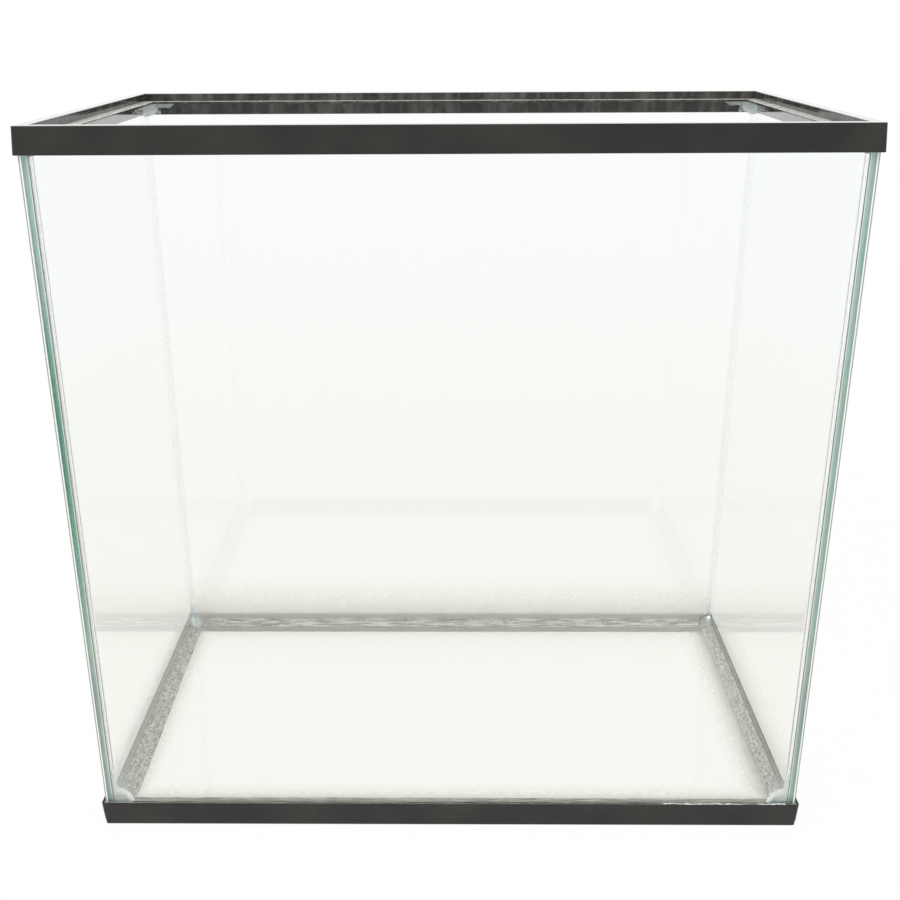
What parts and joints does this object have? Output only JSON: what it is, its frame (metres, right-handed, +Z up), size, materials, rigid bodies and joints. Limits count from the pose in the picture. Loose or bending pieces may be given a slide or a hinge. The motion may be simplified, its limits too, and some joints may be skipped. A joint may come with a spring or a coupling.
{
  "type": "rectangular aquarium",
  "caption": "Rectangular framed glass aquarium, open at the top, with bonded panes, a black moulded rim with a recessed lid ledge and a matching base frame.",
  "frame": {"origin": "middle of the footprint, on the surface that the bottom frame stands on", "axes": "+Z up, front at -Y, +X to the right as seen from the front, along the longest side"},
  "size_m": [0.617, 0.339, 0.605],
  "materials": {
    "glass": "clear float glass, 6.35 mm, green at its edges, seamed",
    "frame_plastic": "black moulded plastic, semi-gloss",
    "silicone": "clear aquarium silicone, slightly cloudy, tooled by hand"
  },
  "bodies": {
    "root": {"front_pane": "glass", "back_pane": "glass", "left_pane": "glass", "right_pane": "glass", "bottom_pane": "glass", "top_frame": "frame_plastic", "bottom_frame": "frame_plastic", "top_bedding": "silicone", "bottom_bedding": "silicone", "floor_bedding": "silicone", "joint_front_left": "silicone", "joint_front_right": "silicone", "joint_back_left": "silicone", "joint_back_right": "silicone", "seal_front_left": "silicone", "seal_front_right": "silicone", "seal_back_left": "silicone", "seal_back_right": "silicone", "corner_fill_front_left": "silicone", "corner_fill_front_right": "silicone", "corner_fill_back_left": "silicone", "corner_fill_back_right": "silicone", "floor_joint_front": "silicone", "floor_joint_back": "silicone", "floor_joint_left": "silicone", "floor_joint_right": "silicone", "floor_seal_front": "silicone", "floor_seal_back": "silicone", "floor_seal_left": "silicone", "floor_seal_right": "silicone"}
  },
  "joints": []
}
